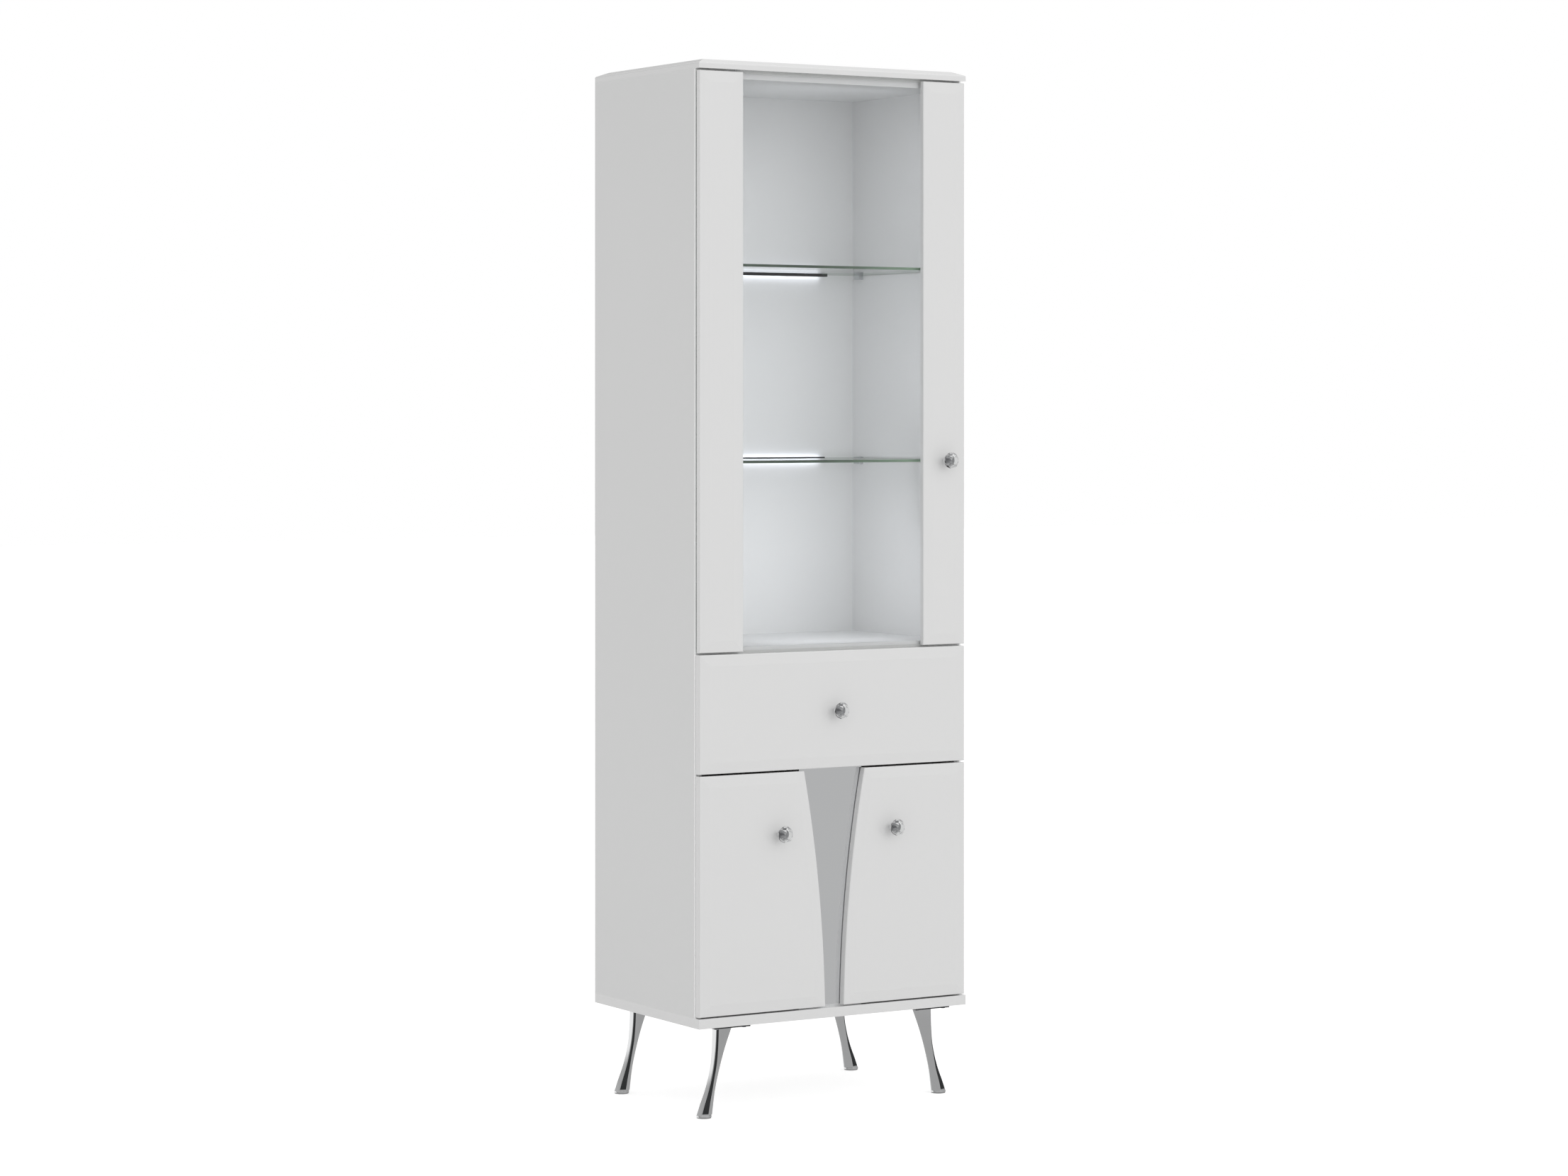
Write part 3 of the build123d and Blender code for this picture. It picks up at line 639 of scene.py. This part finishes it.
def knob_foot(name, body, front):
    """Chrome neck and collar, and the head of the screw behind the door."""
    node = f"knob_base_{name}"
    low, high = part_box(node)
    centre = (low + high) / 2
    radius = (high.x - low.x) / 2
    door_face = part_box(front)[0].y
    depth = low.y - door_face
    bm = bmesh.new()
    foot = [(door_face + depth * share, radius * r) for share, r in KNOB_FOOT]
    lathe(bm, centre, foot, KNOB_SEGMENTS)
    head = [(high.y - SCREW_HEAD_HEIGHT * share, SCREW_HEAD_RADIUS * r) for share, r in SCREW_HEAD]
    lathe(bm, centre, head, SCREW_SEGMENTS)
    obj = new_object(
        f"knob_foot_{name}", mesh_from(bm, node), ("polished_chrome",), body, KNOB_SMOOTH_ANGLE,
    )
    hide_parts(node)


def add_knobs():
    for name, (body, front) in KNOB_FRONTS.items():
        crystal(name, body)
        knob_foot(name, body, front)


# ============================================================================================
# Legs
# ============================================================================================
# Sections from the foot up: share of the blade's height, then how far in from the foot's outer
# edge the blade's outer, widest and inner edges are, and its half thickness at each, in mm.
LEG_STATIONS = (
    (0.000, 3.4, 18.0, 27.4, 8.6, 12.8, 5.2),
    (0.100, 9.0, 21.3, 30.0, 7.7, 12.2, 4.6),
    (0.257, 18.8, 27.8, 34.5, 6.4, 10.4, 3.8),
    (0.414, 26.7, 32.8, 41.0, 6.0, 10.4, 3.1),
    (0.571, 32.1, 37.6, 48.5, 5.8, 10.9, 2.7),
    (0.734, 35.0, 39.8, 57.5, 6.5, 11.8, 2.4),
    (1.000, 37.0, 41.0, 75.2, 7.5, 13.0, 2.0),
)
LEG_STEPS = 44
LEG_ROUNDING = 0.9                             # on the two long outer edges, in mm
OUTER_CORNER, WIDEST_CORNER = 0.42, 0.30       # how far their middles stand in, of the rounding
LEG_RIM = 0.45                                 # flat rim beside the sunk facet, in mm
LEG_SINK = 0.7                                 # how deep the facet is sunk, in mm
LEG_SINK_START = 0.016                         # share of the height where it begins
SUNK_STRIP = 4                                 # the facet's place among an outline's strips
LEG_SMOOTH_ANGLE = math.radians(35)
FACET_WEIGHT = 90                              # how strongly large faces set the shading
FOOT_HEIGHT = 4.0 * MM
FOOT_ROUNDING = 0.9 * MM
FOOT_SEGMENTS = 64
ROUNDED_CORNER = 0.3                           # of the rounding, where its middle point is


def slopes(stations, column):
    """Slope at every station that makes a smooth curve through all of them."""
    points = [(s[0], s[column]) for s in stations]
    rises = [(b[1] - a[1]) / (b[0] - a[0]) for a, b in zip(points, points[1:])]
    gaps = [b[0] - a[0] for a, b in zip(points, points[1:])]
    inner = [
        (rises[i] * gaps[i + 1] + rises[i + 1] * gaps[i]) / (gaps[i] + gaps[i + 1])
        for i in range(len(rises) - 1)
    ]
    return [rises[0]] + inner + [rises[-1]]


def station_at(share):
    """The six section numbers at a share of the blade's height."""
    i = max(k for k, s in enumerate(LEG_STATIONS[:-1]) if s[0] <= share)
    low, high = LEG_STATIONS[i], LEG_STATIONS[i + 1]
    gap = high[0] - low[0]
    t = (share - low[0]) / gap
    values = []
    for column in range(1, len(low)):
        slope = slopes(LEG_STATIONS, column)
        values.append(
            low[column] * (1 + 2 * t) * (1 - t) ** 2 + high[column] * t * t * (3 - 2 * t)
            + gap * slope[i] * t * (1 - t) ** 2 + gap * slope[i + 1] * t * t * (t - 1)
        )
    return values


def leg_outline(share):
    """Front half of a section, outer face first: (inset, forward) points in mm."""
    outer, widest, inner, half_outer, half_widest, half_inner = station_at(share)
    a = Vector((outer, half_outer))
    b = Vector((widest, half_widest))
    c = Vector((inner, half_inner))
    along = (b - a).normalized()
    web = (c - b).normalized()
    out = Vector((-along.y, along.x))
    r = LEG_ROUNDING
    depth = out * (LEG_SINK if share >= LEG_SINK_START else 0.0)
    rim_start, rim_end = a + along * (r + LEG_RIM), b - along * (r + LEG_RIM)
    middle_of_a = a + (along + Vector((0, -1))).normalized() * r * OUTER_CORNER
    middle_of_b = b + (web - along).normalized() * r * WIDEST_CORNER
    return [
        Vector((outer, half_outer - r)), middle_of_a, a + along * r,
        rim_start, rim_start - depth, rim_end - depth, rim_end,
        b - along * r, middle_of_b, b + web * r,
        # The inner edge is blunt and round: its points are shares of its half thickness.
        c - web * half_inner * 0.5, c + Vector((half_inner * 0.45, -half_inner * 0.25)),
        Vector((inner + half_inner * 0.75, half_inner * 0.35)),
    ]


def leg_blade(bm, edge, outward, middle_y, bottom, top):
    """Blade from the foot up: edge is its foot's outer edge, outward the way it points."""
    steps = [i / LEG_STEPS for i in range(LEG_STEPS + 1)]
    rings = []
    for share in sorted(steps + [LEG_SINK_START * 0.999, LEG_SINK_START]):
        half = leg_outline(share)
        outline = half + [Vector((p.x, -p.y)) for p in reversed(half)]
        z = bottom + (top - bottom) * share
        rings.append([
            bm.verts.new((edge - outward * p.x * MM, middle_y - p.y * MM, z)) for p in outline
        ])
    sunk_strips = {SUNK_STRIP, len(rings[0]) - 2 - SUNK_STRIP}
    skin(bm, rings, lambda row, i: 1 if row > 0 and i in sunk_strips else 0)


def leg_foot(bm, centre_x, centre_y, radius, bottom, top):
    """Round foot with rounded edges."""
    r = FOOT_ROUNDING
    corner = ROUNDED_CORNER * r
    profile = (
        (bottom, radius - r), (bottom + corner, radius - corner), (bottom + r, radius),
        (top - r, radius), (top - corner, radius - corner), (top, radius - r),
    )
    rings = [
        [bm.verts.new((centre_x + reach * c, centre_y + reach * s, z))
         for c, s in circle(FOOT_SEGMENTS)]
        for z, reach in profile
    ]
    skin(bm, rings)


def leg(name):
    """Chrome blade with a sunk facet on each side, dark as painted shade, on a round foot."""
    node = f"leg_{name}"
    low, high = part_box(node)
    outward = 1.0 if low.x > 0 else -1.0
    edge = high.x if outward > 0 else low.x
    middle_y = (low.y + high.y) / 2
    radius = (high.y - low.y) / 2
    foot_top = low.z + FOOT_HEIGHT
    bm = bmesh.new()
    leg_blade(bm, edge, outward, middle_y, foot_top, high.z)
    leg_foot(bm, edge - outward * radius, middle_y, radius, low.z, foot_top)
    obj = new_object(
        f"chrome_{node}", mesh_from(bm, node), ("polished_chrome", "leg_painted_shade"), "carcass",
        LEG_SMOOTH_ANGLE,
    )
    weighted = obj.modifiers.new("flat_facets", "WEIGHTED_NORMAL")
    weighted.keep_sharp = True
    weighted.weight = FACET_WEIGHT
    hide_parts(node)


def add_legs():
    for row in ("front", "rear"):
        for side in ("left", "right"):
            leg(f"{row}_{side}")


# ============================================================================================
# Floor and surroundings
# ============================================================================================
FLOOR_SIZE = 60.0
FLOOR_LIGHT = 0.52                             # what the floor adds for the camera alone

# Light of the studio: everywhere, extra from the front, extra from above, and from the right.
AMBIENT, FRONT_LIGHT, TOP_LIGHT, RIGHT_LIGHT = 0.57, 0.545, 0.22, 0.01

# What polished things reflect: brightness by bearing from straight ahead, clockwise seen from
# above in degrees, first near the horizon and then high up.
REFLECTED_LOW = (
    (-180, 1.0), (-128, 1.0), (-112, 0.35), (-70, 0.42), (-10, 0.42), (5, 0.455), (45, 0.455),
    (62, 0.40), (125, 0.42), (138, 1.1), (180, 1.0),
)
REFLECTED_HIGH = (
    (-180, 0.45), (-128, 0.45), (-112, 0.30), (-70, 0.40), (-10, 0.50), (5, 0.60), (45, 0.60),
    (62, 0.45), (125, 0.42), (138, 0.60), (180, 0.45),
)
OVERHEAD = (1.15, 1.15, 1.15)
# Heights in a direction, from 0 level to 1 upright, where one band fades into the next.
LOW_TO_HIGH = (0.03, 0.18)
HIGH_TO_OVERHEAD = (0.35, 0.7)


def floor():
    bpy.ops.mesh.primitive_grid_add(x_subdivisions=2, y_subdivisions=2, size=FLOOR_SIZE)
    obj = bpy.context.object
    obj.name = "floor"
    pale, n = material("floor")
    path = n.add("ShaderNodeLightPath")
    colour = n.mix_colour(n.noise(2.0), scaled(FLOOR, 0.99), FLOOR)
    painted_sparkle = n.math("MULTIPLY", path.outputs["Is Camera Ray"], FLOOR_LIGHT)
    lit = n.add_shader(
        n.made("ShaderNodeBsdfDiffuse", Color=colour),
        n.made("ShaderNodeEmission", Color=WHITE, Strength=painted_sparkle),
    )
    unseen = n.made("ShaderNodeBsdfTransparent")
    n.output(n.mix_shader(path.outputs["Is Glossy Ray"], lit, unseen))
    obj.data.materials.append(pale)


def bearing_ramp(n, share, stops):
    ramp = n.add("ShaderNodeValToRGB")
    n.feed(ramp, 0, share)
    while len(ramp.color_ramp.elements) < len(stops):
        ramp.color_ramp.elements.new(0.5)
    for element, (degrees, value) in zip(ramp.color_ramp.elements, stops):
        element.position = (degrees + 180) / 360
        element.color = (value, value, value, 1.0)
    return ramp.outputs[0]


def studio():
    """White to the camera; soft frontal light; separate quiet surroundings for reflections."""
    world = bpy.data.worlds.new("World")
    bpy.context.scene.world = world
    world.use_nodes = True
    n = Nodes(world.node_tree, "ShaderNodeOutputWorld")
    x, y, z = n.split(n.add("ShaderNodeTexCoord").outputs["Generated"])
    forward = n.math("MULTIPLY", y, -1.0)
    ahead = n.math("POWER", n.math("MAXIMUM", forward, 0.0), 2.0)
    light = n.math("ADD", n.math("MULTIPLY", ahead, FRONT_LIGHT), AMBIENT)
    light = n.math("ADD", light, n.math("MULTIPLY", n.math("MAXIMUM", z, 0.0), TOP_LIGHT))
    light = n.math("ADD", light, n.math("MULTIPLY", x, RIGHT_LIGHT))
    bearing = n.math("ARCTAN2", x, forward)
    share = n.math("DIVIDE", n.math("ADD", bearing, math.pi), 2 * math.pi)
    low, high = bearing_ramp(n, share, REFLECTED_LOW), bearing_ramp(n, share, REFLECTED_HIGH)
    around = n.mix_colour(n.smooth(z, *LOW_TO_HIGH), low, high)
    reflected = n.mix_colour(n.smooth(z, *HIGH_TO_OVERHEAD), around, OVERHEAD)
    path = n.add("ShaderNodeLightPath")
    unseen = n.mix_colour(path.outputs["Is Glossy Ray"], light, reflected)
    seen = n.mix_colour(path.outputs["Is Camera Ray"], unseen, WHITE)
    n.output(n.made("ShaderNodeBackground", Color=seen))


# ============================================================================================
# Lights and camera
# ============================================================================================
KEY_PLACE, KEY_AIM = (1.8, -6.0, 3.2), (0.0, 0.0, 1.1)
KEY_SIZE, KEY_POWER = (3.0, 3.0), 40.0

# Soft light inside each tier of the display part: the pieces below and above it, watts, how
# far it stands right of the middle and behind the pane, and the slope it faces along.
TIER_LIGHTS = (
    ("glass_shelf_upper", "inner_top_panel", 0.235, 75 * MM, 30 * MM, -0.12),
    ("glass_shelf_lower", "glass_shelf_upper", 0.305, 65 * MM, 30 * MM, -0.12),
    ("display_floor", "glass_shelf_lower", 0.34, 60 * MM, 70 * MM, -0.40),
)
TIER_LIGHT_WIDTH, TIER_LIGHT_HEIGHT = 0.5, 0.8     # shares of the pane's width, the tier's height
INNER_LIGHT_COLOUR = (0.94, 0.955, 1.0)

# Narrow lights beside each housing: height, place behind the strip's front, gap to the housing.
GLOW_HEIGHT, GLOW_BACK, GLOW_GAP = 5 * MM, -1.5 * MM, 2 * MM
GLOW_POWER = {"above": 0.005, "below": 0.0115}


def softbox(name, place, aim, size, power, colour=WHITE):
    """Rectangular light that shows neither to the camera nor in reflections or refractions."""
    data = bpy.data.lights.new(name, "AREA")
    data.shape = "RECTANGLE"
    data.size, data.size_y = size
    data.energy = power
    data.color = colour
    obj = bpy.data.objects.new(name, data)
    bpy.context.scene.collection.objects.link(obj)
    obj.location = place
    obj.rotation_euler = (Vector(aim) - Vector(place)).to_track_quat("-Z", "Y").to_euler()
    obj.visible_glossy = False
    obj.visible_camera = False
    obj.visible_transmission = False


def tier_lights():
    """The shelf lights' light spread through the display part, from just behind the pane."""
    low_pane, high_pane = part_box("door_pane")
    width = (high_pane.x - low_pane.x) * TIER_LIGHT_WIDTH
    for below, above, power, right, behind, slope in TIER_LIGHTS:
        floor_z, ceiling_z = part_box(below)[1].z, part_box(above)[0].z
        place = Vector((right, high_pane.y + behind, (floor_z + ceiling_z) / 2))
        aim = place + Vector((0, 1, slope))
        size = (width, (ceiling_z - floor_z) * TIER_LIGHT_HEIGHT)
        softbox(f"tier_light_{below}", place, aim, size, power, INNER_LIGHT_COLOUR)


def glow_lights():
    """Light that each shelf light throws at the back wall, from just above and below it."""
    for name in ("upper", "lower"):
        low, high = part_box(f"light_housing_{name}")
        strip_low, strip_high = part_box(f"light_strip_{name}")
        middle_x = (strip_low.x + strip_high.x) / 2
        size = (strip_high.x - strip_low.x, GLOW_HEIGHT)
        for side, edge_z, way in (("above", high.z, 1), ("below", low.z, -1)):
            place = Vector((middle_x, strip_low.y + GLOW_BACK, edge_z + way * GLOW_GAP))
            aim = place + Vector((0, 1, way))
            light_name = f"glow_{name}_{side}"
            softbox(light_name, place, aim, size, GLOW_POWER[side], INNER_LIGHT_COLOUR)


def camera():
    data = bpy.data.cameras.new("camera")
    data.lens, data.sensor_width = LENS_MM, SENSOR_MM
    data.clip_end = CAMERA_REACH
    obj = bpy.data.objects.new("camera", data)
    bpy.context.scene.collection.objects.link(obj)
    obj.location = CAMERA_PLACE
    obj.rotation_euler = (math.pi / 2, 0.0, CAMERA_AZIMUTH)
    bpy.context.scene.camera = obj
    # The lens is shifted only while the camera stands at its own place.
    drive = data.driver_add("shift_y").driver
    drive.type = "SCRIPTED"
    where = drive.variables.new()
    where.name = "x"
    where.targets[0].id = obj
    where.targets[0].data_path = "location[0]"
    drive.expression = f"{LENS_SHIFT} if abs(x - {CAMERA_PLACE[0]}) < 0.001 else 0"


GLASS_BOUNCES, SHINE_BOUNCES = 24, 16          # enough to see through every layer of glass


def picture_settings():
    scene = bpy.context.scene
    scene.view_settings.view_transform = "Standard"
    scene.view_settings.look = "None"
    scene.cycles.max_bounces = GLASS_BOUNCES
    scene.cycles.transparent_max_bounces = GLASS_BOUNCES
    scene.cycles.glossy_bounces = SHINE_BOUNCES
    scene.cycles.transmission_bounces = SHINE_BOUNCES


dress_cad_nodes()
add_knobs()
add_legs()
floor()
studio()
softbox("key", KEY_PLACE, KEY_AIM, KEY_SIZE, KEY_POWER)
tier_lights()
glow_lights()
camera()
picture_settings()
